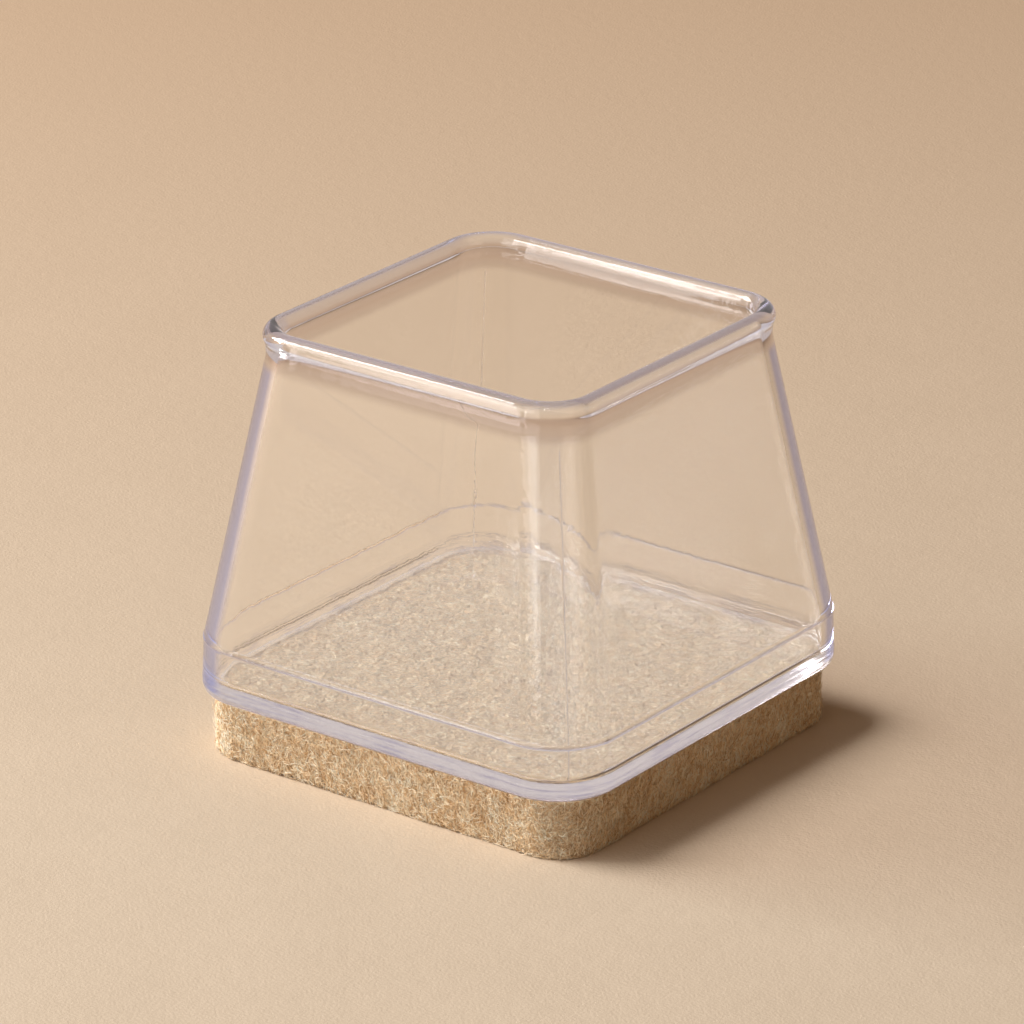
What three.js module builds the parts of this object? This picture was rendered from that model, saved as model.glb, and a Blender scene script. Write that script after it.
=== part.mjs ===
// Slip-on cap for a square chair leg: a clear moulded shell standing on a glued felt glide.
// Millimetres, +Z up. The origin is on the floor, under the middle of the felt.
import * as THREE from 'three';

// Foot of the shell
const BASE_WIDTH = 40; // across the flats, at the underside
const BASE_CORNER_RADIUS = 5.6;
const FOOT_EDGE_RADIUS = 0.9; // rounding of the edge that meets the felt
const BAND_HEIGHT = 4.7; // nearly upright band between the underside and the crease
const BAND_DRAFT = 0.2; // how far each side leans in over the band's height

// Walls, floor and rim of the shell
const SHELL_HEIGHT = 31.15; // underside to the top of the rim
const WALL = 1.1;
const FLOOR = 1.3;
const FLOOR_FILLET = 0.8; // inside, between the floor and the band
const RIM_WIDTH = 31.8; // across the flats, outside the bead
const RIM_CORNER_RADIUS = 4.6;
const BEAD_PROUD = 0.6; // how far the rim's bead stands out of the wall
const NECK_RADIUS = 2.8; // hollow that leads from the wall into the bead

// Felt glide and the adhesive film that holds it
const FELT_THICKNESS = 5;
const FELT_INSET = 1.3; // the felt's edge, in from the foot of the shell
const FELT_CORNER_RADIUS = 3.8;
const FILM_THICKNESS = 0.15;
const FILM_INSET = 0.4; // the film's edge, in from the felt's

// Fineness of the facets, as half the steps in each arc
const CORNER_DIVISIONS = 6;
const PROFILE_DIVISIONS = 5;

const QUARTER_TURN = Math.PI / 2;
const HALF_TURN = Math.PI;

/** Outline of a square with round corners, counter-clockwise about the origin. */
function roundedSquare(halfWidth, cornerRadius) {
  const centre = halfWidth - cornerRadius;
  const outline = new THREE.Shape();
  for (let corner = 0; corner < 4; corner += 1) {
    const start = corner * QUARTER_TURN;
    const x = Math.SQRT2 * centre * Math.cos(start + QUARTER_TURN / 2);
    const y = Math.SQRT2 * centre * Math.sin(start + QUARTER_TURN / 2);
    outline.absarc(x, y, cornerRadius, start, start + QUARTER_TURN, false);
  }
  return outline;
}

/** Flat slab with a rounded square outline, its underside at height zero. */
function roundedSlab(halfWidth, cornerRadius, thickness) {
  const settings = { depth: thickness, bevelEnabled: false, curveSegments: 2 * CORNER_DIVISIONS };
  return new THREE.ExtrudeGeometry(roundedSquare(halfWidth, cornerRadius), settings);
}

/** Closed skin over rings of equal point count, with a flat fan across the first and the last ring. */
function loft(rings) {
  const count = rings[0].length;
  const positions = rings.flat().flatMap((point) => [point.x, point.y, point.z]);
  const faces = [];
  for (let level = 0; level + 1 < rings.length; level += 1) {
    for (let i = 0; i < count; i += 1) {
      const next = (i + 1) % count;
      const lower = level * count;
      const upper = lower + count;
      faces.push(lower + i, lower + next, upper + next);
      faces.push(lower + i, upper + next, upper + i);
    }
  }
  const firstCentre = positions.length / 3;
  const lastCentre = firstCentre + 1;
  const lastRing = firstCentre - count;
  positions.push(0, 0, rings[0][0].z, 0, 0, rings.at(-1)[0].z);
  for (let i = 0; i < count; i += 1) {
    const next = (i + 1) % count;
    faces.push(firstCentre, next, i);
    faces.push(lastCentre, lastRing + i, lastRing + next);
  }
  const geometry = new THREE.BufferGeometry();
  geometry.setAttribute('position', new THREE.Float32BufferAttribute(positions, 3));
  geometry.setIndex(faces);
  geometry.computeVertexNormals();
  return geometry;
}

// The shell's section is drawn as half-width against height above its underside.
const baseHalf = BASE_WIDTH / 2;
const rimHalf = RIM_WIDTH / 2;
const crease = new THREE.Vector2(baseHalf - BAND_DRAFT, BAND_HEIGHT);
const bandLean = Math.atan2(BAND_DRAFT, BAND_HEIGHT);
const beadRadius = (WALL + BEAD_PROUD) / 2; // the bead runs flush into the wall's inner face
const beadCentre = new THREE.Vector2(rimHalf - beadRadius, SHELL_HEIGHT - beadRadius);

// The wall rises from the crease and passes this far outside the bead's centre.
const wallToBead = (WALL - BEAD_PROUD) / 2;
const toBead = beadCentre.clone().sub(crease);
const wallLean = Math.atan2(-toBead.x, toBead.y) - Math.asin(wallToBead / toBead.length());

/** Direction square to a side that leans in by the given angle, pointing out of the shell. */
function outward(lean) {
  return new THREE.Vector2(Math.cos(lean), Math.sin(lean));
}

/** Centre of an arc at the given height that touches the band's line through a point, from inside. */
function bandArcCentre(pointOnBand, height, radius) {
  const drop = (height - pointOnBand.y) * Math.sin(bandLean);
  return new THREE.Vector2(pointOnBand.x - (radius + drop) / Math.cos(bandLean), height);
}

/** Hollow under the bead: it touches the wall's outer face and the bead. */
function neckCentre() {
  const away = NECK_RADIUS + wallToBead;
  const below = Math.sqrt((beadRadius + NECK_RADIUS) ** 2 - away ** 2);
  const alongWall = outward(wallLean + QUARTER_TURN);
  return beadCentre.clone().addScaledVector(outward(wallLean), away).addScaledVector(alongWall, -below);
}

/** Where the inner faces of the band and the wall meet, one wall in from the crease. */
function innerCrease() {
  const band = outward(bandLean);
  const wall = outward(wallLean);
  const mitre = -WALL / (1 + band.dot(wall));
  return crease.clone().addScaledVector(band.add(wall), mitre);
}

/** Section from the foot's edge, up the outside, over the bead and down to the inner floor. */
function shellSection() {
  const foot = bandArcCentre(crease, FOOT_EDGE_RADIUS, FOOT_EDGE_RADIUS);
  const neck = neckCentre();
  const neckToBead = beadCentre.clone().sub(neck).angle();
  const inner = innerCrease();
  const floor = bandArcCentre(inner, FLOOR + FLOOR_FILLET, FLOOR_FILLET);
  const section = new THREE.Path();
  section.absarc(foot.x, foot.y, FOOT_EDGE_RADIUS, -QUARTER_TURN, bandLean, false);
  section.lineTo(crease.x, crease.y);
  section.absarc(neck.x, neck.y, NECK_RADIUS, wallLean + HALF_TURN, neckToBead, true);
  section.absarc(beadCentre.x, beadCentre.y, beadRadius, neckToBead - HALF_TURN, wallLean + HALF_TURN, false);
  section.lineTo(inner.x, inner.y);
  section.absarc(floor.x, floor.y, FLOOR_FILLET, bandLean, -QUARTER_TURN, true);
  return section.getPoints(PROFILE_DIVISIONS);
}

/** Distance from the axis planes to the centres of the corner arcs: upright in the band, then leaning in. */
function cornerCentre(height) {
  const rise = THREE.MathUtils.clamp((height - crease.y) / (beadCentre.y - crease.y), 0, 1);
  return THREE.MathUtils.lerp(baseHalf - BASE_CORNER_RADIUS, rimHalf - RIM_CORNER_RADIUS, rise);
}

/** One level of the shell: a rounded square whose corners share their centres inside and out. */
function shellRing(point) {
  const outline = roundedSquare(point.x, point.x - cornerCentre(point.y));
  return outline.getPoints(CORNER_DIVISIONS).map(({ x, y }) => new THREE.Vector3(x, y, point.y));
}

const clearPlastic = new THREE.MeshStandardMaterial({
  color: 0xe6e1ec,
  roughness: 0.06,
  metalness: 0,
  transparent: true,
  opacity: 0.35,
});
const adhesive = new THREE.MeshStandardMaterial({
  color: 0xefe6d6,
  roughness: 0.3,
  metalness: 0,
  transparent: true,
  opacity: 0.5,
});
const woolFelt = new THREE.MeshStandardMaterial({ color: 0xc9a67a, roughness: 0.95, metalness: 0 });

const feltHalf = baseHalf - FELT_INSET;
const felt = new THREE.Mesh(roundedSlab(feltHalf, FELT_CORNER_RADIUS, FELT_THICKNESS), woolFelt);
felt.name = 'felt_pad';

const filmCornerRadius = FELT_CORNER_RADIUS - FILM_INSET;
const film = new THREE.Mesh(roundedSlab(feltHalf - FILM_INSET, filmCornerRadius, FILM_THICKNESS), adhesive);
film.name = 'adhesive_film';
film.position.z = FELT_THICKNESS;

const shell = new THREE.Mesh(loft(shellSection().map(shellRing)), clearPlastic);
shell.name = 'clear_cap';
shell.position.z = FELT_THICKNESS + FILM_THICKNESS;

const legCap = new THREE.Group();
legCap.add(felt, film, shell);

export default legCap;
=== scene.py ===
"""Dresses a clear chair leg cap and its wool felt glide.

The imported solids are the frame. Every piece made here is in metres, in their axes and at their place.
"""
import logging
import math
from dataclasses import dataclass
from enum import Enum

import bpy
import numpy as np
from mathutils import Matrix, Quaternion, Vector


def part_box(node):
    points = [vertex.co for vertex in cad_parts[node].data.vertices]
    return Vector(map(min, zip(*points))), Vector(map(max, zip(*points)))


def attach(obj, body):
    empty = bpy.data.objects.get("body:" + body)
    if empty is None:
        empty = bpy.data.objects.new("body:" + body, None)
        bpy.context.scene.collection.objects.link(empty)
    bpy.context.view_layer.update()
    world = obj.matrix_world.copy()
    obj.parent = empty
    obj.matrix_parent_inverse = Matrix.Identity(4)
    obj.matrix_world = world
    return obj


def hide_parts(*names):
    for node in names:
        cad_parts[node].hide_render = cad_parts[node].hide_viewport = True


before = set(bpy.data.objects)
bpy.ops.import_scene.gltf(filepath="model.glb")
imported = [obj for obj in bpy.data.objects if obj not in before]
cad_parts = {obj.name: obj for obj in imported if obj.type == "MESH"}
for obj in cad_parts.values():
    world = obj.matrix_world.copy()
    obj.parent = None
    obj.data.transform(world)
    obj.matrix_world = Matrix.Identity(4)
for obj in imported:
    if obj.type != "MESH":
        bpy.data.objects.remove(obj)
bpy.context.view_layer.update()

MM = 0.001
QUARTER_TURN = math.pi / 2
BODY = "root"
LOG = logging.getLogger("leg_cap")


class Node(Enum):
    """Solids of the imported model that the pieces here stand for."""

    SHELL = "clear_cap"
    FILM = "adhesive_film"
    FELT = "felt_pad"


class Slot(Enum):
    """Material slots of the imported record."""

    PLASTIC = "clear_plastic"
    ADHESIVE = "adhesive"
    WOOL = "wool_felt"


# Surfaces


def add_piece(name: str, points: np.ndarray, faces: list[list[int]]) -> bpy.types.Object:
    """Puts a smooth surface into the scene, at the origin.

    Args:
        name: Name of the piece.
        points: One row per corner, in metres.
        faces: Corner numbers of each face, counter-clockwise from outside.

    Returns:
        The new object.
    """
    mesh = bpy.data.meshes.new(name)
    mesh.from_pydata(points.tolist(), [], faces)
    mesh.polygons.foreach_set("use_smooth", np.ones(len(mesh.polygons), dtype=bool))
    mesh.update()
    piece = bpy.data.objects.new(name, mesh)
    bpy.context.scene.collection.objects.link(piece)
    return piece


def add_attribute(piece: bpy.types.Object, name: str, values: np.ndarray) -> None:
    """Stores one number per corner of a piece, for its material to read.

    Args:
        piece: Object whose mesh takes the numbers.
        name: Name that the material asks for.
        values: One number per corner.
    """
    attribute = piece.data.attributes.new(name, "FLOAT", "POINT")
    attribute.data.foreach_set("value", values.astype(np.float32))


def arc(centre: np.ndarray, radius: float, start: float, end: float, steps: int) -> np.ndarray:
    """Points centre + radius (cos a, sin a) while a runs evenly from start to end.

    Args:
        centre: Centre of the arc.
        radius: Its radius.
        start: Angle of the first point.
        end: Angle of the last point.
        steps: Number of chords.

    Returns:
        One row per point, both ends included.
    """
    angles = np.linspace(start, end, steps + 1)
    return centre + radius * np.stack([np.cos(angles), np.sin(angles)], axis=1)


def eased(steps: int) -> np.ndarray:
    """Shares (1 - cos(pi i / steps)) / 2 of a line, without its ends, so that points crowd towards both."""
    return (1 - np.cos(np.pi * np.arange(1, steps) / steps)) / 2


def smooth(share: np.ndarray) -> np.ndarray:
    """Step 3 t^2 - 2 t^3 from nought to one, flat outside."""
    held = np.clip(share, 0, 1)
    return held * held * (3 - 2 * held)


def between(value: np.ndarray, start: float, end: float) -> np.ndarray:
    """Smooth step from nought at the start to one at the end."""
    return smooth((value - start) / (end - start))


def line(start: np.ndarray, end: np.ndarray, steps: int) -> np.ndarray:
    """Points between two ends, without them, crowding towards both."""
    return start + eased(steps)[:, None] * (end - start)


@dataclass(frozen=True)
class Outline:
    """A round-cornered square as directions: a point is corner distance x spread + corner radius x bulge.

    spread points at the centre of the corner's arc, or between two of them along a flat side. bulge is the
    unit direction that the arc turns through, and square to the side on a flat.
    """

    spread: np.ndarray
    bulge: np.ndarray
    corner: np.ndarray
    angle: np.ndarray

    @classmethod
    def of(cls, corner_angles: np.ndarray, side_shares: np.ndarray) -> "Outline":
        """Samples the four corners and the four sides alike.

        Args:
            corner_angles: Angles in a corner, from nought to a quarter turn.
            side_shares: Shares of a side between its corners, without the ends.

        Returns:
            The outline, counter-clockwise from the corner in +X +Y.
        """
        spreads, bulges, corners, angles = [], [], [], []
        for number in range(4):
            turn = number * QUARTER_TURN
            here = math.sqrt(2) * unit(turn + QUARTER_TURN / 2)
            following = math.sqrt(2) * unit(turn + 1.5 * QUARTER_TURN)
            spreads.append(np.tile(here, (len(corner_angles), 1)))
            spreads.append(here + side_shares[:, None] * (following - here))
            bulges.append(np.stack([np.cos(turn + corner_angles), np.sin(turn + corner_angles)], axis=1))
            bulges.append(np.tile(unit(turn + QUARTER_TURN), (len(side_shares), 1)))
            corners.append(np.full(len(corner_angles) + len(side_shares), number))
            angles.append(np.concatenate([corner_angles, np.full(len(side_shares), np.inf)]))
        return cls(*(np.concatenate(part) for part in (spreads, bulges, corners, angles)))

    def rings(self, levels: "Levels") -> np.ndarray:
        """Corner positions of every level, as levels x points x 3.

        Args:
            levels: Half-width, height, corner centre and shrink of each level.

        Returns:
            shrink x (corner centre x spread + (half-width - corner centre) x bulge), at the level's height.
        """
        radius = levels.half_width - levels.corner_centre
        flat = levels.corner_centre[:, None, None] * self.spread + radius[:, None, None] * self.bulge
        flat = flat * levels.shrink[:, None, None]
        height = np.broadcast_to(levels.height[:, None, None], (*flat.shape[:2], 1))
        return np.concatenate([flat, height], axis=2)


def unit(angle: float) -> np.ndarray:
    """Direction (cos a, sin a)."""
    return np.array([math.cos(angle), math.sin(angle)])


@dataclass(frozen=True)
class Levels:
    """Levels of a loft, from its first face to its last, one entry each."""

    half_width: np.ndarray
    height: np.ndarray
    corner_centre: np.ndarray
    shrink: np.ndarray


def loft_faces(level_count: int, point_count: int) -> list[list[int]]:
    """Quads between neighbouring rings, with one flat face over the first ring and one over the last.

    Args:
        level_count: Number of rings.
        point_count: Points in each ring.

    Returns:
        The faces, pointing out where the rings turn counter-clockwise and rise.
    """
    ring = np.arange(point_count)
    following = np.roll(ring, -1)
    base = (np.arange(level_count - 1) * point_count)[:, None]
    above = base + point_count
    quads = np.stack([base + ring, base + following, above + following, above + ring], axis=2)
    first = ring[::-1]
    last = (level_count - 1) * point_count + ring
    return [*quads.reshape(-1, 4).tolist(), first.tolist(), last.tolist()]


def lumps(points: np.ndarray, size: float, seed: int) -> np.ndarray:
    """Smooth random lumps between -1 and 1.

    A seeded table holds a random number at each knot of a cubic lattice, and the eight knots round a point
    are blended with the weight 3 t^2 - 2 t^3.

    Args:
        points: Positions, any shape ending in 3.
        size: Spacing of the lattice.
        seed: Seed of the table.

    Returns:
        One number per position.
    """
    period = 64
    table = np.random.default_rng(seed).uniform(-1, 1, (period, period, period))
    scaled = points / size
    low = np.floor(scaled).astype(int)
    share = scaled - low
    share = share * share * (3 - 2 * share)
    total = np.zeros(points.shape[:-1])
    for corner in np.ndindex(2, 2, 2):
        knot = (low + corner) % period
        weight = np.where(np.array(corner) == 1, share, 1 - share).prod(axis=-1)
        total += weight * table[knot[..., 0], knot[..., 1], knot[..., 2]]
    return total


# Finishes


class Graph:
    """A material's node tree, with short calls for adding and joining nodes."""

    def __init__(self, tree: bpy.types.NodeTree) -> None:
        """Starts on an emptied tree."""
        self.tree = tree
        tree.nodes.clear()

    def add(self, kind: str, inputs: dict | None = None, **settings: object) -> bpy.types.Node:
        """Adds a node.

        Args:
            kind: Blender's name for the node.
            inputs: Socket name or number to a value, or to a socket to join it to.
            settings: Properties of the node.

        Returns:
            The node.
        """
        node = self.tree.nodes.new(kind)
        for name, value in settings.items():
            setattr(node, name, value)
        for key, value in (inputs or {}).items():
            if isinstance(value, bpy.types.NodeSocket):
                self.tree.links.new(value, node.inputs[key])
            else:
                node.inputs[key].default_value = value
        return node

    def ramp(self, factor: bpy.types.NodeSocket, stops: list[tuple[float, tuple]]) -> bpy.types.NodeSocket:
        """Colour that runs through stops.

        Args:
            factor: Socket with the place on the ramp.
            stops: Place and linear colour of each stop.

        Returns:
            The colour socket.
        """
        node = self.add("ShaderNodeValToRGB", {"Fac": factor})
        elements = node.color_ramp.elements
        while len(elements) < len(stops):
            elements.new(1.0)
        for element, (place, colour) in zip(elements, stops):
            element.position = place
            element.color = (*colour, 1.0)
        return node.outputs["Color"]

    def math(self, operation: str, *values: object) -> bpy.types.NodeSocket:
        """Result of a sum on numbers or sockets.

        Args:
            operation: Blender's name for the sum.
            values: Its terms in order.

        Returns:
            The value socket.
        """
        return self.add("ShaderNodeMath", dict(enumerate(values)), operation=operation).outputs[0]

    def attribute(self, name: str) -> bpy.types.NodeSocket:
        """Numbers that a piece stores at its corners."""
        return self.add("ShaderNodeAttribute", attribute_name=name).outputs["Fac"]

    def blend(self, factor: bpy.types.NodeSocket, first: object, second: object) -> bpy.types.NodeSocket:
        """Colour between two others, each given as a colour or a socket.

        Args:
            factor: Share of the second.
            first: The first colour.
            second: The second colour.

        Returns:
            The colour socket.
        """
        inputs = {"Factor": factor, 6: first, 7: second}
        return self.add("ShaderNodeMix", inputs, data_type="RGBA").outputs[2]


def new_material(name: str) -> tuple[bpy.types.Material, Graph]:
    """An empty node material and its graph."""
    material = bpy.data.materials.new(name)
    material.use_nodes = True
    return material, Graph(material.node_tree)


def mottle_group() -> bpy.types.NodeTree:
    """Shared effect: two sizes of cloudy noise, blended and stretched between a low and a high value.

    Returns:
        The node group. Its inputs are Vector, Scale, Fine Share, Low and High, and its output is Value.
    """
    name = "Mottle"
    if name in bpy.data.node_groups:
        return bpy.data.node_groups[name]
    group = bpy.data.node_groups.new(name, "ShaderNodeTree")
    graph = Graph(group)
    face = group.interface
    face.new_socket("Vector", in_out="INPUT", socket_type="NodeSocketVector")
    for socket in ("Scale", "Fine Share", "Low", "High"):
        face.new_socket(socket, in_out="INPUT", socket_type="NodeSocketFloat")
    face.new_socket("Value", in_out="OUTPUT", socket_type="NodeSocketFloat")
    given = graph.add("NodeGroupInput").outputs
    fine_scale = graph.add("ShaderNodeMath", {0: given["Scale"], 1: 5.3}, operation="MULTIPLY")
    coarse_inputs = {"Vector": given["Vector"], "Scale": given["Scale"], "Detail": 3.0}
    coarse = graph.add("ShaderNodeTexNoise", coarse_inputs)
    fine_inputs = {"Vector": given["Vector"], "Scale": fine_scale.outputs[0], "Detail": 4.0}
    fine = graph.add("ShaderNodeTexNoise", fine_inputs)
    blend_inputs = {"Factor": given["Fine Share"], "A": coarse.outputs["Fac"], "B": fine.outputs["Fac"]}
    blend = graph.add("ShaderNodeMix", blend_inputs, data_type="FLOAT")
    stretch_inputs = {"Value": blend.outputs[0], 1: 0.3, 2: 0.7, 3: given["Low"], 4: given["High"]}
    stretch = graph.add("ShaderNodeMapRange", stretch_inputs)
    graph.add("NodeGroupOutput", {"Value": stretch.outputs[0]})
    return group


def mottle(
    graph: Graph, vector: bpy.types.NodeSocket, scale: float, fine: float, low: float, high: float
) -> bpy.types.NodeSocket:
    """Places the shared mottle in a material.

    Args:
        graph: Graph of the material.
        vector: Coordinates in metres.
        scale: Clouds per metre.
        fine: Share of the fine clouds.
        low: Value of the darkest cloud.
        high: Value of the lightest cloud.

    Returns:
        The value socket.
    """
    inputs = {"Vector": vector, "Scale": scale, "Fine Share": fine, "Low": low, "High": high}
    return graph.add("ShaderNodeGroup", inputs, node_tree=mottle_group()).outputs["Value"]


@dataclass(frozen=True)
class ClearPlastic:
    """Clear moulded plastic with a faint violet cast, flow waviness and light handling marks.

    Its colour carries painted light: lilac painted on turned-away edges, on the crease and on the rim's crest
    as painted reflection, grey painted shade in the hollow neck, and lilac streaks painted on the foot as
    painted reflection.
    Lamps and scattered light pass straight through it, so that they reach what stands behind and inside.
    Light that has bounced about inside a thick edge a few times leaves it instead of being lost.
    """

    name: str = "clear_plastic"
    ior: float = 1.47
    clear: tuple = (1.0, 1.0, 1.0, 1.0)
    tint: tuple = (0.945, 0.935, 0.955, 1.0)
    tint_density: float = 100.0
    # Lilac painted on turned-away edges as painted reflection, faded in between these two facings.
    painted_edge_reflection: tuple = (0.33, 0.41, 1.0, 1.0)
    edge_start: float = 0.35
    edge_full: float = 0.50
    # Grey painted shade in the hollow neck.
    painted_neck_shade: tuple = (0.66, 0.60, 0.61, 1.0)
    # Lilac streaks and patches painted on the foot as painted reflection of the light that the plate carries;
    # the streaks also shape its relief.
    painted_foot_reflection: tuple = (0.52, 0.52, 0.70, 1.0)
    streak_length: float = 5 * MM
    streak_stretch: float = 30.0
    streak_range: tuple = (-1.8, 2.2)
    streak_depth: float = 0.006 * MM
    patch_width: float = 2.6 * MM
    patch_stretch: float = 0.1
    patch_range: tuple = (-0.6, 0.4)
    haze: float = 0.55
    haze_spread: float = 0.2
    haze_tint: tuple = (0.90, 0.88, 1.0, 1.0)
    lamp_share: tuple = (0.91, 0.88, 0.86, 1.0)
    inner_bounces: float = 2.5
    polished: tuple = (0.0, 0.02)
    polish_clouds_per_metre: float = 160.0
    keyed: tuple = (0.03, 0.22)
    key_clouds_per_metre: float = 700.0
    wave_size: float = 6 * MM
    wave_depth: float = 0.004 * MM
    flow_size: float = 1.1 * MM
    flow_stretch: float = 9.0
    flow_depth: float = 0.0012 * MM
    corner_flow: float = 5.0
    keyed_depth: float = 0.015 * MM

    def tone(self, graph: Graph, place: bpy.types.NodeSocket) -> bpy.types.NodeSocket:
        """Colour of the surface: lilac painted on turned-away edges, on the crease and on the rim's crest as
        painted reflection, grey painted shade in the neck, and lilac streaks painted along the foot as
        painted reflection.

        Args:
            graph: Graph of the material.
            place: Coordinates in metres.

        Returns:
            The colour socket.
        """
        # Lilac painted on turned-away edges, the crease and the rim's crest: painted reflection.
        facing = graph.add("ShaderNodeLayerWeight", {"Blend": 0.5}).outputs["Facing"]
        edge = graph.add("ShaderNodeMapRange", {"Value": facing, 1: self.edge_start, 2: self.edge_full})
        edge_share = graph.math("MULTIPLY", edge.outputs[0], graph.attribute("painted_edge_share"))
        painted_edges = graph.math("MAXIMUM", edge_share, graph.attribute("painted_line_share"))
        colour = graph.blend(painted_edges, self.clear, self.painted_edge_reflection)
        # Grey painted shade in the hollow neck under the rim.
        colour = graph.blend(graph.attribute("neck"), colour, self.painted_neck_shade)
        # Lilac streaks and patches painted along the foot: painted reflection.
        streaks = self.streaks(graph, place, *self.streak_range)
        upright = (1.0, 1.0, self.patch_stretch)
        across = graph.add("ShaderNodeMapping", {"Vector": place, "Scale": upright}).outputs[0]
        patches = mottle(graph, across, 1 / self.patch_width, 0.1, *self.patch_range)
        painted_streak_share = graph.math("MULTIPLY", graph.math("ADD", streaks, patches), graph.attribute("foot"))
        return graph.blend(painted_streak_share, colour, self.painted_foot_reflection)

    def streaks(
        self, graph: Graph, place: bpy.types.NodeSocket, low: float, high: float
    ) -> bpy.types.NodeSocket:
        """Fine level streaks, as drawn on the foot by the mould, for its relief; in the colour they also
        place painted reflection.

        Args:
            graph: Graph of the material.
            place: Coordinates in metres.
            low: Value between the streaks.
            high: Value on them.

        Returns:
            The value socket.
        """
        squeeze = (1.0, 1.0, self.streak_stretch)
        along = graph.add("ShaderNodeMapping", {"Vector": place, "Scale": squeeze}).outputs[0]
        return mottle(graph, along, 1 / self.streak_length, 0.3, low, high)

    def relief(self, graph: Graph, place: bpy.types.NodeSocket) -> bpy.types.NodeSocket:
        """Normal with long waves, streaks on the foot and two ways of fine flow, stronger by the corners.

        Args:
            graph: Graph of the material.
            place: Coordinates in metres.

        Returns:
            The normal socket.
        """
        waves = mottle(graph, place, 1 / self.wave_size, 0.04, 0.0, 1.0)
        bump = graph.add("ShaderNodeBump", {"Height": waves, "Distance": self.wave_depth})
        drawn = graph.math("MULTIPLY", self.streaks(graph, place, 0.0, 1.0), graph.attribute("foot"))
        streak_inputs = {"Height": drawn, "Distance": self.streak_depth, "Normal": bump.outputs[0]}
        bump = graph.add("ShaderNodeBump", streak_inputs)
        boost = graph.math("MULTIPLY_ADD", graph.attribute("flow"), self.corner_flow, 1.0)
        for squeeze in ((1.0, 1.0, self.flow_stretch), (self.flow_stretch, self.flow_stretch, 1.0)):
            along = graph.add("ShaderNodeMapping", {"Vector": place, "Scale": squeeze}).outputs[0]
            flow = mottle(graph, along, 1 / self.flow_size / self.flow_stretch, 0.0, 0.0, 1.0)
            height = graph.math("MULTIPLY", flow, boost)
            inputs = {"Height": height, "Distance": self.flow_depth, "Normal": bump.outputs[0]}
            bump = graph.add("ShaderNodeBump", inputs)
        return bump.outputs[0]

    def material(self, keyed_below: float) -> bpy.types.Material:
        """Builds the material.

        Args:
            keyed_below: Height under which the surface is lightly textured, for the adhesive to key into.

        Returns:
            The material.
        """
        material, graph = new_material(self.name)
        place = graph.add("ShaderNodeTexCoord").outputs["Object"]
        polished = mottle(graph, place, self.polish_clouds_per_metre, 0.4, *self.polished)
        keyed = mottle(graph, place, self.key_clouds_per_metre, 0.5, *self.keyed)
        height = graph.add("ShaderNodeSeparateXYZ", {0: place}).outputs["Z"]
        under = graph.math("LESS_THAN", height, keyed_below)
        rough = graph.add("ShaderNodeMix", {"Factor": under, "A": polished, "B": keyed}, data_type="FLOAT")
        dents = graph.math("MULTIPLY", keyed, under)
        dent_depth = self.keyed_depth / (self.keyed[1] - self.keyed[0])
        dent_inputs = {"Height": dents, "Distance": dent_depth, "Normal": self.relief(graph, place)}
        bump = graph.add("ShaderNodeBump", dent_inputs)
        surface_inputs = {
            "Base Color": self.tone(graph, place),
            "Roughness": rough.outputs[0],
            "IOR": self.ior,
            "Transmission Weight": 1.0,
            "Sheen Weight": self.haze,
            "Sheen Roughness": self.haze_spread,
            "Sheen Tint": self.haze_tint,
            "Normal": bump.outputs[0],
        }
        surface = graph.add("ShaderNodeBsdfPrincipled", surface_inputs)
        share = graph.blend(graph.attribute("skin"), self.clear, self.lamp_share)
        open_way = graph.add("ShaderNodeBsdfTransparent", {"Color": share})
        rays = graph.add("ShaderNodeLightPath").outputs
        trapped = graph.math("GREATER_THAN", rays["Glossy Depth"], self.inner_bounces)
        soft = graph.math("MAXIMUM", rays["Is Diffuse Ray"], trapped)
        passed = graph.math("MAXIMUM", rays["Is Shadow Ray"], soft)
        mixed_inputs = {0: passed, 1: surface.outputs[0], 2: open_way.outputs[0]}
        mixed = graph.add("ShaderNodeMixShader", mixed_inputs)
        inside = graph.add("ShaderNodeVolumeAbsorption", {"Color": self.tint, "Density": self.tint_density})
        outputs = {"Surface": mixed.outputs[0], "Volume": inside.outputs[0]}
        graph.add("ShaderNodeOutputMaterial", outputs)
        return material


@dataclass(frozen=True)
class Adhesive:
    """Thin clear adhesive that has wetted the felt in patches."""

    name: str = "adhesive"
    colour: tuple = (0.80, 0.68, 0.52, 1.0)
    patches_per_metre: float = 500.0
    cover: tuple = (0.0, 0.10)

    def material(self) -> bpy.types.Material:
        """Builds the material."""
        material, graph = new_material(self.name)
        place = graph.add("ShaderNodeTexCoord").outputs["Object"]
        cover = mottle(graph, place, self.patches_per_metre, 0.5, *self.cover)
        rough = mottle(graph, place, self.patches_per_metre, 0.7, 0.25, 0.5)
        surface_inputs = {"Base Color": self.colour, "Roughness": rough, "Alpha": cover}
        surface = graph.add("ShaderNodeBsdfPrincipled", surface_inputs)
        graph.add("ShaderNodeOutputMaterial", {"Surface": surface.outputs[0]})
        return material


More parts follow.
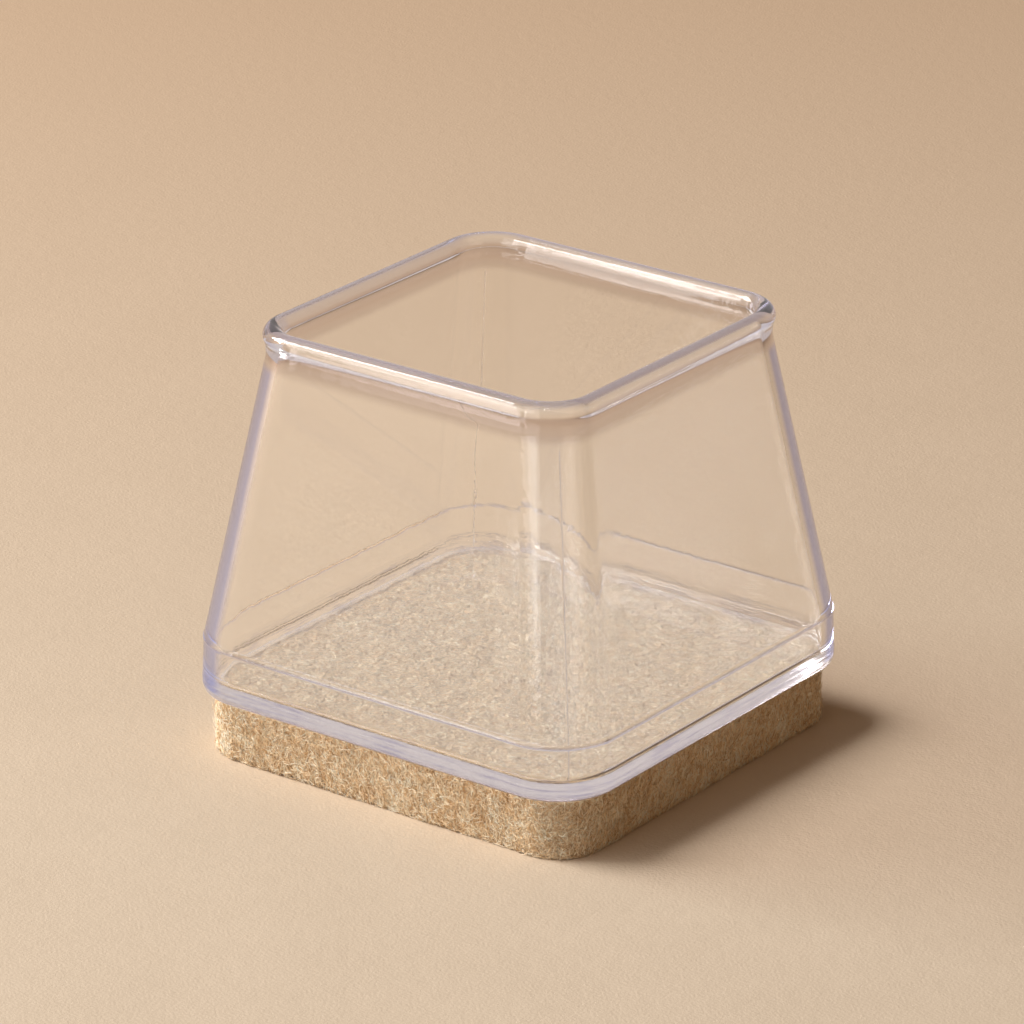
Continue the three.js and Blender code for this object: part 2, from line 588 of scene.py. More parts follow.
@dataclass(frozen=True)
class WoolFelt:
    """Pressed wool: the ground between the fibres that lie on it, painted lighter on the top as painted
    light.
    """

    name: str = "wool_felt"
    dark: tuple = (0.40, 0.21, 0.08)
    middle: tuple = (0.84, 0.58, 0.31)
    light: tuple = (0.95, 0.76, 0.49)
    # How much lighter the top is painted than the sides: painted light.
    top_painted_light: float = 0.4
    tufts_per_metre: float = 2200.0
    relief_per_metre: float = 3740.0
    relief_depth: float = 0.12 * MM

    def material(self) -> bpy.types.Material:
        """Builds the material."""
        material, graph = new_material(self.name)
        place = graph.add("ShaderNodeTexCoord").outputs["Object"]
        tufts = mottle(graph, place, self.tufts_per_metre, 0.45, 0.0, 1.0)
        # The top painted lighter than the sides: painted light.
        tone = graph.math("MULTIPLY_ADD", graph.attribute("top"), self.top_painted_light, tufts)
        colour = graph.ramp(tone, [(0.1, self.dark), (0.5, self.middle), (0.95, self.light)])
        relief = mottle(graph, place, self.relief_per_metre, 0.6, 0.0, 1.0)
        bump = graph.add("ShaderNodeBump", {"Height": relief, "Distance": self.relief_depth, "Strength": 0.8})
        surface_inputs = {
            "Base Color": colour,
            "Roughness": 0.95,
            "Specular IOR Level": 0.15,
            "Sheen Weight": 0.25,
            "Sheen Roughness": 0.5,
            "Normal": bump.outputs[0],
        }
        surface = graph.add("ShaderNodeBsdfPrincipled", surface_inputs)
        graph.add("ShaderNodeOutputMaterial", {"Surface": surface.outputs[0]})
        return material


@dataclass(frozen=True)
class WoolFibre:
    """Single wool fibres, each with its own tone from brown to cream."""

    name: str = "wool_fibre"
    dark: tuple = (0.58, 0.34, 0.14)
    middle: tuple = (1.0, 0.77, 0.49)
    light: tuple = (1.0, 0.95, 0.80)

    def material(self) -> bpy.types.Material:
        """Builds the material."""
        material, graph = new_material(self.name)
        place = graph.add("ShaderNodeTexCoord").outputs["Object"]
        flecks = mottle(graph, place, 3000.0, 0.5, -0.12, 0.12)
        tone = graph.math("ADD", graph.attribute("tone"), flecks)
        stops = [(0.0, self.dark), (0.5, self.middle), (1.0, self.light)]
        surface_inputs = {
            "Base Color": graph.ramp(tone, stops),
            "Roughness": 0.7,
            "Specular IOR Level": 0.25,
            "Sheen Weight": 0.2,
        }
        surface = graph.add("ShaderNodeBsdfPrincipled", surface_inputs)
        graph.add("ShaderNodeOutputMaterial", {"Surface": surface.outputs[0]})
        return material


@dataclass(frozen=True)
class StudioFloor:
    """Plain pale sand-coloured board with a faint tooth, painted darker towards the back as painted shade."""

    name: str = "studio_floor"
    dark: tuple = (0.69, 0.565, 0.43)
    light: tuple = (0.73, 0.60, 0.46)
    # Colour that the board is painted towards the back, as painted shade, and the span over which it darkens.
    back: tuple = (0.61, 0.445, 0.305, 1.0)
    backwards: tuple = (-0.598, 0.8015, 0.0)
    shade_range: tuple = (-20 * MM, 200 * MM)
    clouds_per_metre: float = 90.0
    tooth_per_metre: float = 700.0
    tooth_depth: float = 0.1 * MM

    def material(self) -> bpy.types.Material:
        """Builds the material."""
        material, graph = new_material(self.name)
        place = graph.add("ShaderNodeTexCoord").outputs["Object"]
        tone = mottle(graph, place, self.clouds_per_metre, 0.35, 0.0, 1.0)
        board = graph.ramp(tone, [(0.0, self.dark), (1.0, self.light)])
        # Painted shade: the board darkens towards the back, away from the camera.
        depth_inputs = {0: place, 1: self.backwards}
        depth = graph.add("ShaderNodeVectorMath", depth_inputs, operation="DOT_PRODUCT").outputs["Value"]
        near, far = self.shade_range
        far_painted_shade = graph.add("ShaderNodeMapRange", {"Value": depth, 1: near, 2: far})
        colour = graph.blend(far_painted_shade.outputs[0], board, self.back)
        tooth = mottle(graph, place, self.tooth_per_metre, 0.5, 0.0, 1.0)
        bump = graph.add("ShaderNodeBump", {"Height": tooth, "Distance": self.tooth_depth, "Strength": 0.3})
        surface_inputs = {
            "Base Color": colour,
            "Roughness": 0.85,
            "Specular IOR Level": 0.2,
            "Normal": bump.outputs[0],
        }
        surface = graph.add("ShaderNodeBsdfPrincipled", surface_inputs)
        graph.add("ShaderNodeOutputMaterial", {"Surface": surface.outputs[0]})
        return material


# Pieces


def settle(piece: bpy.types.Object, material: bpy.types.Material, slot: Slot, *nodes: Node) -> None:
    """Gives a piece its finish and its body, and hides the solids that it stands for.

    Args:
        piece: The piece.
        material: Its finish.
        slot: The record's slot for that finish; not used.
        nodes: Solids that it replaces, if any.
    """
    piece.data.materials.append(material)
    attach(piece, BODY)
    if nodes:
        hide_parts(*(node.value for node in nodes))
    LOG.info("%s: %d faces", piece.name, len(piece.data.polygons))


@dataclass
class CapShell:
    """The clear moulding: foot band, crease, tapering walls, hollow neck and rolled rim, one wall thick."""

    finish: ClearPlastic = ClearPlastic()
    base_half: float = 20 * MM
    base_corner_radius: float = 5.6 * MM
    foot_edge_radius: float = 0.9 * MM
    band_height: float = 4.7 * MM
    band_draft: float = 0.2 * MM
    wall: float = 1.1 * MM
    floor: float = 1.3 * MM
    floor_fillet: float = 0.8 * MM
    rim_half: float = 15.9 * MM
    rim_corner_radius: float = 4.6 * MM
    bead_proud: float = 0.6 * MM
    neck_radius: float = 2.8 * MM
    crease_ridge: float = 0.05 * MM
    crease_ridge_width: float = 0.12 * MM
    parting_ridge: float = 0.09 * MM
    parting_ridge_width: float = 0.05 * MM
    parting_climb: float = 0.9
    parting_span: float = 3.0
    parting_margin: float = 1.2
    parting_points: int = 13
    foot_ridge: float = 0.025 * MM
    foot_ridge_width: float = 0.10 * MM
    foot_ridge_heights: tuple = (0.45 * MM, 1.35 * MM)
    # Shares and spans of the painted light on the shell: lilac lines on the crease and the rim's crest, lilac
    # edges on the bead and corners as painted reflection, and grey painted shade in the neck.
    crease_share: float = 0.75
    crest_share: float = 0.8
    crest_angle: float = math.radians(80)
    crest_spread: float = math.radians(36)
    bead_share: float = 0.4
    neck_rise: tuple = (-0.5, 0.0)
    neck_fall: tuple = (0.95, 1.15)
    bead_rise: tuple = (0.85, 1.15)
    corner_blend: float = math.radians(12)
    flow_reach: float = 3.5 * MM
    # Where the foot's streaks fade out, both their relief and their painted reflection.
    foot_fade: tuple = (1.9 * MM, 2.3 * MM)
    keyed_height: float = 0.02 * MM
    flat_share: float = 0.9
    corner_steps: int = 40
    side_steps: int = 16
    foot_steps: int = 30
    band_steps: int = 60
    wall_steps: int = 60
    neck_steps: int = 16
    bead_steps: int = 36
    inner_band_steps: int = 16
    floor_steps: int = 12

    def __post_init__(self) -> None:
        """Takes the underside and the height from the frame and works out the section's lines."""
        low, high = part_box(Node.SHELL.value)
        self.underside = low.z
        self.height = high.z - low.z
        self.band_lean = math.atan2(self.band_draft, self.band_height)
        self.crease = np.array([self.base_half - self.band_draft, self.band_height])
        self.bead_radius = (self.wall + self.bead_proud) / 2
        self.bead_centre = np.array([self.rim_half, self.height]) - self.bead_radius
        self.wall_to_bead = (self.wall - self.bead_proud) / 2
        across, rise = self.bead_centre - self.crease
        span = math.hypot(across, rise)
        self.wall_lean = math.atan2(-across, rise) - math.asin(self.wall_to_bead / span)
        outwards, upwards = unit(self.wall_lean), unit(self.wall_lean + QUARTER_TURN)
        away = self.neck_radius + self.wall_to_bead
        below = math.sqrt((self.bead_radius + self.neck_radius) ** 2 - away**2)
        self.neck_centre = self.bead_centre + away * outwards - below * upwards
        self.neck_to_bead = math.atan2(*(self.bead_centre - self.neck_centre)[::-1])

    def band_arc_centre(self, on_band: np.ndarray, height: float, radius: float) -> np.ndarray:
        """Centre of an arc at a height that touches the band's line through a point, from inside.

        Args:
            on_band: A point of the line.
            height: Height of the centre.
            radius: Radius of the arc.

        Returns:
            The centre.
        """
        drop = (height - on_band[1]) * math.sin(self.band_lean)
        return np.array([on_band[0] - (radius + drop) / math.cos(self.band_lean), height])

    def section(self) -> tuple[np.ndarray, np.ndarray]:
        """Section of the shell as half-width against height over the underside.

        Lines and arcs run from the foot's edge up the outside, through the hollow neck, over the bead and
        down the inside to the floor. Ridges exp(-(d / width)^2) high stand on the crease and on the foot.

        Returns:
            The points, and the share of each that lies on the outside.
        """
        outwards, band_normal = unit(self.wall_lean), unit(self.band_lean)
        mitre = -self.wall / (1 + band_normal @ outwards)
        inner_crease = self.crease + mitre * (band_normal + outwards)
        foot = self.band_arc_centre(self.crease, self.foot_edge_radius, self.foot_edge_radius)
        floor_height = self.floor + self.floor_fillet
        floor = self.band_arc_centre(inner_crease, floor_height, self.floor_fillet)
        half_turn = 2 * QUARTER_TURN
        foot_arc = arc(foot, self.foot_edge_radius, -QUARTER_TURN, self.band_lean, self.foot_steps)
        inner_turn = self.wall_lean + half_turn
        neck_arc = arc(self.neck_centre, self.neck_radius, inner_turn, self.neck_to_bead, self.neck_steps)
        bead_turn = self.neck_to_bead - half_turn
        bead_arc = arc(self.bead_centre, self.bead_radius, bead_turn, inner_turn, self.bead_steps)
        floor_arc = arc(floor, self.floor_fillet, self.band_lean, -QUARTER_TURN, self.floor_steps)
        outside = [
            foot_arc,
            line(foot_arc[-1], self.crease, self.band_steps),
            self.crease[None],
            line(self.crease, neck_arc[0], self.wall_steps),
            neck_arc,
            bead_arc[1:],
        ]
        inside = [
            line(bead_arc[-1], inner_crease, self.wall_steps),
            inner_crease[None],
            line(inner_crease, floor_arc[0], self.inner_band_steps),
            floor_arc,
        ]
        outer, inner = np.concatenate(outside), np.concatenate(inside)
        distance = np.linalg.norm(outer - self.crease, axis=1)
        ridge = self.crease_ridge * np.exp(-((distance / self.crease_ridge_width) ** 2))
        for level in self.foot_ridge_heights:
            away = (outer[:, 1] - level) / self.foot_ridge_width
            ridge = ridge + self.foot_ridge * np.exp(-(away**2))
        outer = outer + ridge[:, None] * outwards
        share = np.concatenate([np.ones(len(outer)), np.zeros(len(inner))])
        return np.concatenate([outer, inner]), share

    def corner_centre(self, height: np.ndarray) -> np.ndarray:
        """Distance of the corner arcs' centres from the middle: upright in the band, then leaning in."""
        rise = (height - self.crease[1]) / (self.bead_centre[1] - self.crease[1])
        foot, rim = self.base_half - self.base_corner_radius, self.rim_half - self.rim_corner_radius
        return foot + np.clip(rise, 0, 1) * (rim - foot)

    def outline(self) -> Outline:
        """Outline with extra points where a parting ridge runs down the middle of a corner."""
        widths = np.linspace(-self.parting_span, self.parting_span, self.parting_points)
        fine = widths * self.parting_ridge_width / self.base_corner_radius
        even = np.linspace(0, QUARTER_TURN, self.corner_steps + 1)
        clear = even[np.abs(even - QUARTER_TURN / 2) > fine[-1] * self.parting_margin]
        return Outline.of(np.sort(np.concatenate([clear, QUARTER_TURN / 2 + fine])), eased(self.side_steps))

    def marks(self, half_width: np.ndarray, height: np.ndarray, outline: Outline) -> dict[str, np.ndarray]:
        """Shares, one per level and point, that tell the finish where it is on the outside of the shell.

        Args:
            half_width: Half-width of each level.
            height: Height of each level over the underside.
            outline: The outline.

        Returns:
            skin is the whole outside; the painted edge share covers the corners and the rim, where lilac is
            painted on turned-away edges as painted reflection; the painted line share covers the crease and
            the rim's crest, where lilac lines are painted as painted reflection; neck is the hollow under the
            rim, where grey is painted as painted shade;
            flow is the neighbourhood of a corner; foot is the plate's edge, where streaks give relief and
            painted reflection.
        """
        everywhere = np.ones((len(height), len(outline.angle)))
        neck_low = self.neck_centre[1] - self.neck_radius * math.sin(self.wall_lean)
        neck_high = self.neck_centre[1] + self.neck_radius * math.sin(self.neck_to_bead)
        into_neck = (height - neck_low) / (neck_high - neck_low)
        # Share of the hollow neck, where grey shade is painted.
        neck = between(into_neck, *self.neck_rise) * (1 - between(into_neck, *self.neck_fall))
        bead = between(into_neck, *self.bead_rise)
        into_corner = np.minimum(outline.angle, QUARTER_TURN - outline.angle) / self.corner_blend
        above_foot = height > self.foot_edge_radius
        # Where lilac is painted on turned-away edges as painted reflection: the corners, and the bead at a
        # lower share.
        corner = smooth(into_corner)[None] * (above_foot * (1 - bead))[:, None]
        above_bead = np.arctan2(height - self.bead_centre[1], half_width - self.bead_centre[0])
        # Lilac lines painted on the rim's crest and along the crease: painted reflection.
        crest = bead * np.exp(-(((above_bead - self.crest_angle) / self.crest_spread) ** 4))
        from_crease = np.hypot(half_width - self.crease[0], height - self.crease[1]) / self.crease_ridge_width
        crease = self.crease_share * np.exp(-(from_crease**2))
        across = 1 - np.abs(outline.spread).min(axis=1)
        from_corner = across * (self.base_half - self.base_corner_radius) / self.flow_reach
        foot = 1 - between(height, *self.foot_fade)
        return {
            "skin": everywhere,
            "painted_edge_share": np.maximum(corner, self.bead_share * bead[:, None]),
            "painted_line_share": np.maximum(crease, self.crest_share * crest)[:, None] * everywhere,
            "neck": neck[:, None] * everywhere,
            "flow": np.exp(-(from_corner**2))[None] * everywhere,
            "foot": foot[:, None] * everywhere,
        }

    def build(self) -> bpy.types.Object:
        """Lofts the section round the outline and dresses it.

        The first and the last ring stand twice, the second time drawn in, so that the flat faces over them
        keep a flat shade. Two opposite corners carry the mould's parting ridge on their outside.

        Returns:
            The piece.
        """
        section, outside = self.section()
        half_width = np.concatenate([section[:1, 0], section[:, 0], section[-1:, 0]])
        height = np.concatenate([section[:1, 1], section[:, 1], section[-1:, 1]])
        outside = np.concatenate([[0], outside, [0]])
        shrink = np.ones(len(half_width))
        shrink[[0, -1]] = self.flat_share
        levels = Levels(half_width, height + self.underside, self.corner_centre(height), shrink)
        outline = self.outline()
        points = outline.rings(levels)
        ridge_top = self.crease[1] + self.parting_climb * (self.bead_centre - self.crease)[1]
        across = (outline.angle - QUARTER_TURN / 2) * self.base_corner_radius / self.parting_ridge_width
        on_seam = np.where(outline.corner % 2 == 1, np.exp(-(across**2)), 0)
        ridge = self.parting_ridge * (outside * (height < ridge_top))[:, None] * on_seam[None]
        points[..., :2] += ridge[..., None] * outline.bulge
        faces = loft_faces(*points.shape[:2])
        piece = add_piece("clear_shell", points.reshape(-1, 3), faces)
        for name, values in self.marks(half_width, height, outline).items():
            add_attribute(piece, name, (outside[:, None] * values).reshape(-1))
        settle(piece, self.finish.material(self.underside + self.keyed_height), Slot.PLASTIC, Node.SHELL)
        return piece


@dataclass
class FilmSheet:
    """The adhesive film between the felt and the shell."""

    finish: Adhesive = Adhesive()
    corner_radius: float = 3.4 * MM
    air: float = 0.02 * MM

    def build(self) -> bpy.types.Object:
        """Makes the sheet a hair thinner than its solid, clear of the shell's and the felt's faces."""
        low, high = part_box(Node.FILM.value)
        outline = Outline.of(np.linspace(0, QUARTER_TURN, 13), eased(4))
        count = 2
        half = np.full(count, high.x)
        height = np.array([low.z + self.air, high.z - self.air])
        levels = Levels(half, height, half - self.corner_radius, np.ones(count))
        points = outline.rings(levels)
        piece = add_piece("adhesive_sheet", points.reshape(-1, 3), loft_faces(*points.shape[:2]))
        piece.data.polygons.foreach_set("use_smooth", np.zeros(len(piece.data.polygons), dtype=bool))
        settle(piece, self.finish.material(), Slot.ADHESIVE, Node.FILM)
        return piece


@dataclass(frozen=True)
class FibreCoat:
    """A coat of loose fibres: how many, how long and thick, and how they lie."""

    name: str
    count: int
    seed: int
    length: tuple = (0.8 * MM, 2.0 * MM)
    thickness: tuple = (0.035 * MM, 0.06 * MM)
    bend: float = 1.3
    lift: tuple = (0.0, 0.14 * MM)
    stray_share: float = 0.08
    stray_lift: float = 0.5 * MM

    @classmethod
    def layers(cls, name: str, seeds: tuple, **lie: object) -> tuple:
        """Coats that lie alike, one for each seed."""
        return tuple(cls(f"{name}_{number}", 16000, seed, **lie) for number, seed in enumerate(seeds, 1))


@dataclass
class FeltGlide:
    """The die-cut felt pad: a pressed body, and the fibres that lie on its sides and its top."""

    ground: WoolFelt = WoolFelt()
    fibre: WoolFibre = WoolFibre()
    corner_radius: float = 3.8 * MM
    edge_radius: float = 0.6 * MM
    sink: float = 0.05 * MM
    lump_sizes: tuple = (2.4 * MM, 0.8 * MM, 0.35 * MM)
    lump_depths: tuple = (0.06 * MM, 0.05 * MM, 0.02 * MM)
    top_dip: float = 0.10 * MM
    top_margin: float = 0.5 * MM
    side_margins: tuple = (0.1 * MM, 0.05 * MM)
    under_rings: int = 14
    over_rings: int = 48
    # A lighter copy of the side fibres' tones for the top: painted light.
    top_fibre: WoolFibre = WoolFibre(
        "wool_fibre_top_painted_light", (0.72, 0.47, 0.24), (1.0, 0.82, 0.55), (1.0, 0.95, 0.75)
    )
    side_coats: tuple = FibreCoat.layers("felt_fibres_side", (11, 21, 31))
    top_coats: tuple = FibreCoat.layers(
        "felt_fibres_top",
        (12, 22),
        length=(0.5 * MM, 1.4 * MM),
        thickness=(0.06 * MM, 0.10 * MM),
        lift=(-0.02 * MM, 0.06 * MM),
        stray_share=0.0,
    )

    def __post_init__(self) -> None:
        """Takes the pad's size from its solid, less the depth that the fibres fill."""
        low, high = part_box(Node.FELT.value)
        self.half = high.x - self.sink
        self.top = high.z - self.sink
        self.bottom = low.z

    def body_levels(self) -> Levels:
        """Levels from the middle of the underside, round both edges, to the middle of the top."""
        edge = self.edge_radius
        inner = self.half - edge
        low_arc = arc(np.array([inner, self.bottom + edge]), edge, -QUARTER_TURN, 0.0, 6)
        crisp = edge / 4
        high_arc = arc(np.array([self.half - crisp, self.top - crisp]), crisp, 0.0, QUARTER_TURN, 6)
        shares = np.linspace(0, 1, 24)[1:-1, None]
        side = low_arc[-1] + shares * (high_arc[0] - low_arc[-1])
        rim = np.concatenate([low_arc, side, high_arc])
        under, over = np.linspace(0.06, 0.985, self.under_rings), np.linspace(0.985, 0.02, self.over_rings)
        copies = np.ones(len(rim), dtype=int)
        copies[[0, -1]] += (self.under_rings, self.over_rings)
        half, height = np.repeat(rim, copies, axis=0).T
        shrink = np.concatenate([under, np.ones(len(rim)), over])
        return Levels(half, height, np.full(len(half), self.half - self.corner_radius), shrink)

    def relief(self, points: np.ndarray) -> np.ndarray:
        """Height of the felt's lumps, the sum of three sizes of them."""
        layers = enumerate(zip(self.lump_sizes, self.lump_depths), 30)
        return sum(depth * lumps(points + 1.0, size, seed) for seed, (size, depth) in layers)

    def build_body(self) -> bpy.types.Object:
        """Lofts the pressed body and roughens it with three sizes of lumps, inwards only on the underside."""
        outline = Outline.of(np.linspace(0, QUARTER_TURN, 30), np.linspace(0, 1, 150)[1:-1])
        levels = self.body_levels()
        points = outline.rings(levels)
        noise = self.relief(points)
        on_side = np.where(levels.shrink == 1, 1.0, 0.0)[:, None, None]
        points[..., :2] += on_side * noise[..., None] * outline.bulge
        middle = (self.top + self.bottom) / 2
        rise = np.clip((points[..., 2] - middle) / (self.top - middle), -1, 1) ** 15
        points[..., 2] += np.where(rise > 0, rise * (noise - self.top_dip), 0)
        points[..., 2] = np.clip(points[..., 2], self.bottom, self.top)
        piece = add_piece("felt_body", points.reshape(-1, 3), loft_faces(*points.shape[:2]))
        # Marks the top, which the ground's colour paints lighter as painted light.
        add_attribute(piece, "top", smooth(rise).reshape(-1))
        settle(piece, self.ground.material(), Slot.WOOL, Node.FELT)
        return piece

    def side_seats(self, count: int, rng: np.random.Generator) -> tuple[np.ndarray, np.ndarray]:
        """Random seats for fibres on the pad's sides.

        Args:
            count: Number of seats.
            rng: Source of random numbers.

        Returns:
            The seats, and the outward direction at each.
        """
        centre = self.half - self.corner_radius
        side_length, corner_length = 2 * centre, self.corner_radius * QUARTER_TURN
        way = rng.uniform(0, 4, count)
        turn = np.floor(way) * QUARTER_TURN
        along = (way % 1) * (side_length + corner_length)
        bend = np.clip(along / self.corner_radius, 0, QUARTER_TURN)
        slide = np.clip(along - corner_length, 0, side_length)
        outward = np.stack([np.cos(turn + bend), np.sin(turn + bend), np.zeros(count)], axis=1)
        corner = turn + QUARTER_TURN / 2
        base = math.sqrt(2) * centre * np.stack([np.cos(corner), np.sin(corner), np.zeros(count)], axis=1)
        tangent = np.stack([-outward[:, 1], outward[:, 0], np.zeros(count)], axis=1)
        seats = base + self.corner_radius * outward + slide[:, None] * tangent
        below, above = self.side_margins
        seats[:, 2] = rng.uniform(self.bottom + below, self.top - above, count)
        return seats + self.relief(seats)[:, None] * outward, outward

    def top_seats(self, count: int, rng: np.random.Generator) -> tuple[np.ndarray, np.ndarray]:
        """Random seats for fibres on the pad's top, and the upward direction at each."""
        reach = self.half - self.top_margin
        flat = rng.uniform(-reach, reach, (count, 2))
        over = np.maximum(np.abs(flat) - (reach - self.corner_radius), 0)
        beyond = np.hypot(*over.T) > self.corner_radius
        flat[beyond] *= 0.6
        seats = np.column_stack([flat, np.full(count, self.top)])
        seats[:, 2] = np.minimum(seats[:, 2] + self.relief(seats) - self.top_dip, self.top)
        return seats, np.tile([0.0, 0.0, 1.0], (count, 1))

    def build_coat(self, coat: FibreCoat, seats: np.ndarray, outward: np.ndarray) -> bpy.types.Object:
        """Lays a curved, tapering fibre on every seat.

        A fibre's middle line is seat + L (s - 1/2) (cos(k (s - 1/2)) d + sin(k (s - 1/2)) e) + lift(s) n
        for s from nought to one, where n points out of the felt, d and e lie in its surface and k is the
        bend. It is a three-sided tube that closes in a point at both ends.

        Args:
            coat: How the fibres lie.
            seats: Middle of each fibre on the felt.
            outward: Direction out of the felt at each seat.

        Returns:
            The piece.
        """
        rng = np.random.default_rng(coat.seed + 100)
        count, steps, sides = len(seats), 4, 3
        spin = rng.uniform(0, 2 * np.pi, count)
        upright = np.abs(outward[:, 2:]) < 0.5
        helper = np.where(upright, [[0.0, 0.0, 1.0]], [[1.0, 0.0, 0.0]])
        first = np.cross(outward, helper)
        second = np.cross(outward, first)
        flatten = np.where(upright[:, 0], 1.2, 1.0)
        ahead = np.cos(spin)[:, None] * first + (flatten * np.sin(spin))[:, None] * second
        ahead /= np.linalg.norm(ahead, axis=1, keepdims=True)
        aside = np.cross(outward, ahead)
        share = np.linspace(0, 1, steps)
        length = rng.uniform(*coat.length, count)
        bend = rng.normal(0, coat.bend, count)
        swing = bend[:, None] * (share - 0.5)
        reach = length[:, None] * (share - 0.5)
        lift = rng.uniform(*coat.lift, count)[:, None] * np.sin(np.pi * share) - 0.03 * MM
        stray = rng.uniform(size=count) < coat.stray_share
        lift = lift + stray[:, None] * rng.uniform(0.2, 1, count)[:, None] * coat.stray_lift * share**2
        path = (
            seats[:, None]
            + (reach * np.cos(swing))[..., None] * ahead[:, None]
            + (reach * np.sin(swing))[..., None] * aside[:, None]
            + lift[..., None] * outward[:, None]
        )
        path[..., 2] = np.clip(path[..., 2], self.bottom + 0.05 * MM, self.top + self.sink - 0.02 * MM)
        radius = rng.uniform(*coat.thickness, count) / 2
        turn = 2 * np.pi * np.arange(sides) / sides
        around = np.cos(turn)[:, None] * outward[:, None] + np.sin(turn)[:, None] * aside[:, None]
        tube = path[:, 1:-1, None] + radius[:, None, None, None] * around[:, None]
        points = np.concatenate([path[:, :1], tube.reshape(count, -1, 3), path[:, -1:]], axis=1)
        faces = self.fibre_faces(count, steps - 2, sides)
        piece = add_piece(coat.name, points.reshape(-1, 3), faces)
        cluster = lumps(seats + 1.0, 1.3 * MM, 77)
        tone = np.clip(rng.beta(1.1, 0.9, count) + 0.12 * cluster, 0, 1)
        add_attribute(piece, "tone", np.repeat(tone, points.shape[1]))
        return piece

    @staticmethod
    def fibre_faces(count: int, rings: int, sides: int) -> list[list[int]]:
        """Faces of fibres that are numbered tip, rings, tip.

        Args:
            count: Number of fibres.
            rings: Rings in each.
            sides: Points in each ring.

        Returns:
            The quads between the rings and the triangles at the tips.
        """
        here = np.arange(sides)
        following = np.roll(here, -1)
        base = 1 + np.arange(rings - 1)[:, None] * sides
        above = base + sides
        quads = np.stack([base + here, base + following, above + following, above + here], axis=2)
        last = rings * sides + 1
        start = np.stack([np.zeros(sides, int), 1 + following, 1 + here], axis=1)
        final = last - sides
        end = np.stack([np.full(sides, last), final + here, final + following], axis=1)
        offset = (np.arange(count) * (last + 1))[:, None, None]
        all_quads = (offset + quads.reshape(-1, 4)).reshape(-1, 4)
        all_ends = (offset + np.concatenate([start, end])).reshape(-1, 3)
        return [*all_quads.tolist(), *all_ends.tolist()]

    def build(self) -> list[bpy.types.Object]:
        """Builds the body and both coats.

        Returns:
            The pieces.
        """
        body = self.build_body()
        pieces = [body]
        coats = (
            (self.side_coats, self.side_seats, self.fibre),
            (self.top_coats, self.top_seats, self.top_fibre),
        )
        for layers, seat, finish in coats:
            material = finish.material()
            for coat in layers:
                rng = np.random.default_rng(coat.seed)
                piece = self.build_coat(coat, *seat(coat.count, rng))
                settle(piece, material, Slot.WOOL)
                pieces.append(piece)
        return pieces


# Studio


@dataclass(frozen=True)
class SoftLamp:
    """A soft box, placed by its direction from the object, aimed at it and rolled about that direction."""

    name: str
    azimuth: float
    elevation: float
    distance: float
    width: float
    height: float
    power: float
    colour: tuple
    roll: float = 0.0

    def build(self, aim: Vector) -> bpy.types.Object:
        """Adds the lamp.

        Args:
            aim: Point that it faces.

        Returns:
            The lamp.
        """
        turn, lift = math.radians(self.azimuth), math.radians(self.elevation)
        flat = math.cos(lift)
        away = Vector((math.cos(turn) * flat, math.sin(turn) * flat, math.sin(lift)))
        light = bpy.data.lights.new(self.name, "AREA")
        light.shape = "RECTANGLE"
        light.size, light.size_y = self.width, self.height
        light.energy = self.power
        light.color = self.colour
        lamp = bpy.data.objects.new(self.name, light)
        lamp.location = aim + away * self.distance
        rolled = Quaternion((0.0, 0.0, 1.0), math.radians(self.roll))
        lamp.rotation_euler = ((-away).to_track_quat("-Z", "Y") @ rolled).to_euler()
        bpy.context.scene.collection.objects.link(lamp)
        return lamp


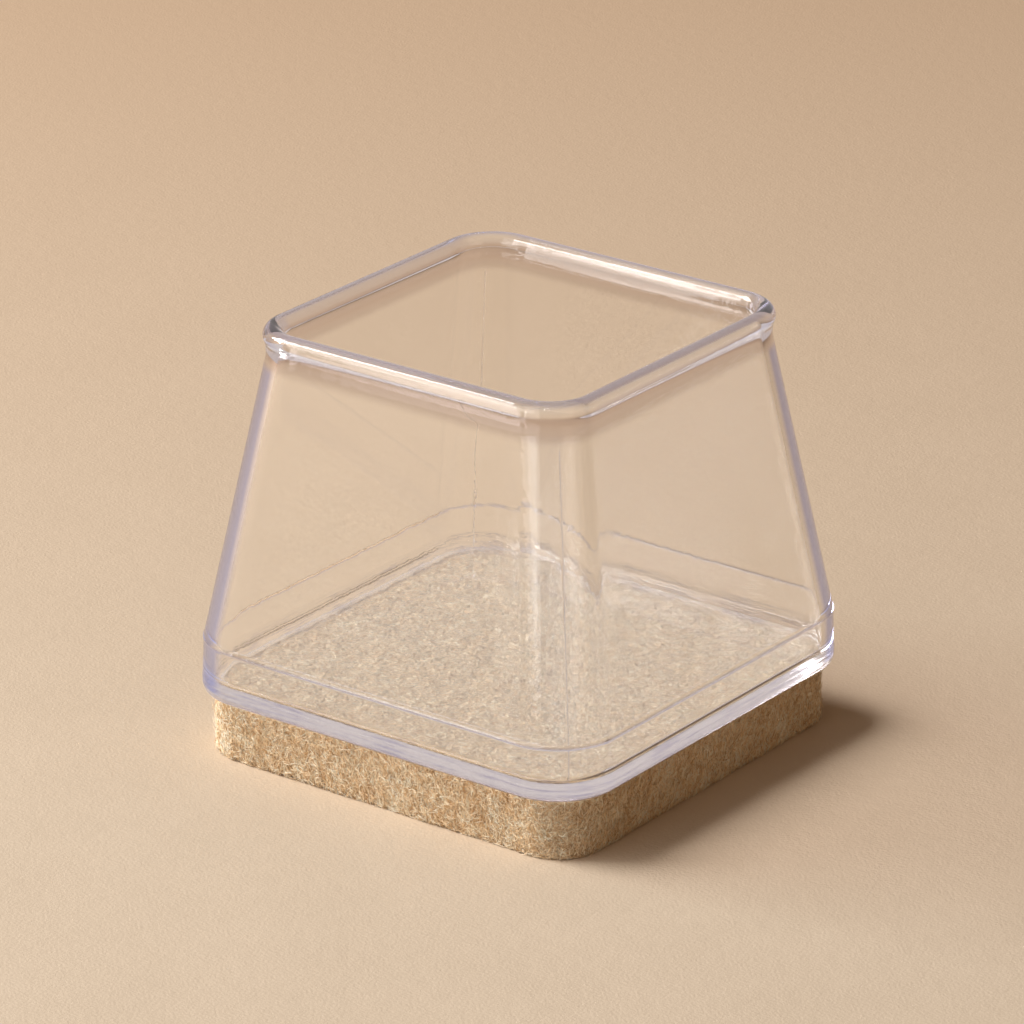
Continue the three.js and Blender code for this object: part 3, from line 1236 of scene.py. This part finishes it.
@dataclass
class Studio:
    """Floor, soft light, surroundings and the camera."""

    floor_finish: StudioFloor = StudioFloor()
    floor_half: float = 1.5
    key: SoftLamp = SoftLamp("key", 202.0, 35.0, 1.2, 0.62, 0.62, 18.6, (1.0, 0.99, 0.97))
    fill: SoftLamp = SoftLamp("fill", 256.0, 12.0, 0.5, 0.4, 0.3, 1.0, (1.0, 0.98, 0.95))
    strip: SoftLamp = SoftLamp("strip", 229.0, 30.0, 0.6, 0.06, 0.45, 0.5, (1.0, 1.0, 1.0), 28.0)
    card: SoftLamp = SoftLamp("card", 352.0, 8.0, 0.5, 0.3, 0.3, 0.25, (1.0, 0.80, 0.58))
    surroundings: tuple = (0.76, 0.71, 0.69, 1.0)
    ambient: tuple = (0.11, 0.065, 0.035, 1.0)
    azimuth: float = 36.72
    elevation: float = 22.24
    distance: float = 471.5 * MM
    lens: float = 205.55
    target_height: float = 18.18 * MM
    aim_left: float = 0.66 * MM
    aim_up: float = 1.01 * MM

    def build_floor(self) -> bpy.types.Object:
        """Lays the floor as a flat grid, finer in the middle."""
        steps = np.linspace(-1, 1, 41)
        spread = self.floor_half * np.sign(steps) * np.abs(steps) ** 2
        x, y = np.meshgrid(spread, spread, indexing="ij")
        points = np.stack([x, y, np.zeros_like(x)], axis=-1).reshape(-1, 3)
        row = len(steps)
        cell = (np.arange(row - 1)[:, None] * row + np.arange(row - 1)).reshape(-1)
        quads = np.stack([cell, cell + row, cell + row + 1, cell + 1], axis=1)
        floor = add_piece("floor", points, quads.tolist())
        floor.data.materials.append(self.floor_finish.material())
        return floor

    def build_world(self) -> None:
        """Surroundings: warm fill on the object, and a pale backdrop where glass or gloss shows them."""
        world = bpy.data.worlds.new("surroundings")
        bpy.context.scene.world = world
        world.use_nodes = True
        graph = Graph(world.node_tree)
        rays = graph.add("ShaderNodeLightPath").outputs
        mirrored = graph.math("MAXIMUM", rays["Is Glossy Ray"], rays["Is Transmission Ray"])
        shown = graph.math("MAXIMUM", rays["Is Camera Ray"], mirrored)
        colour = graph.blend(shown, self.ambient, self.surroundings)
        back = graph.add("ShaderNodeBackground", {"Color": colour})
        graph.add("ShaderNodeOutputWorld", {"Surface": back.outputs[0]})

    def build_camera(self) -> bpy.types.Object:
        """Places the camera at the photographed angle: a long lens, a little above the rim."""
        turn, lift = math.radians(self.azimuth), math.radians(self.elevation)
        flat = math.cos(lift)
        back = Vector((math.sin(turn) * flat, -math.cos(turn) * flat, math.sin(lift)))
        right = Vector((math.cos(turn), math.sin(turn), 0.0))
        up = back.cross(right)
        target = Vector((0.0, 0.0, self.target_height))
        place = target + back * self.distance
        aim = target - right * self.aim_left + up * self.aim_up
        data = bpy.data.cameras.new("camera")
        data.lens = self.lens
        data.clip_start, data.clip_end = 0.01, 20.0
        camera = bpy.data.objects.new("camera", data)
        camera.location = place
        camera.rotation_euler = (aim - place).to_track_quat("-Z", "Y").to_euler()
        bpy.context.scene.collection.objects.link(camera)
        bpy.context.scene.camera = camera
        return camera

    def build(self) -> None:
        """Builds the whole set."""
        scene = bpy.context.scene
        scene.view_settings.view_transform = "Standard"
        self.build_camera()
        self.build_floor()
        self.build_world()
        for lamp in (self.key, self.fill, self.strip, self.card):
            lamp.build(Vector((0.0, 0.0, self.target_height)))


def clear_default_scene() -> None:
    """Removes the objects that a new file starts with, and leaves the frame's."""
    for name in ("Cube", "Light", "Camera"):
        if name in bpy.data.objects:
            bpy.data.objects.remove(bpy.data.objects[name])


def main() -> None:
    """Builds the set and the pieces in order."""
    logging.basicConfig(level=logging.INFO)
    clear_default_scene()
    Studio().build()
    CapShell().build()
    FilmSheet().build()
    FeltGlide().build()


if __name__ == "__main__":
    main()
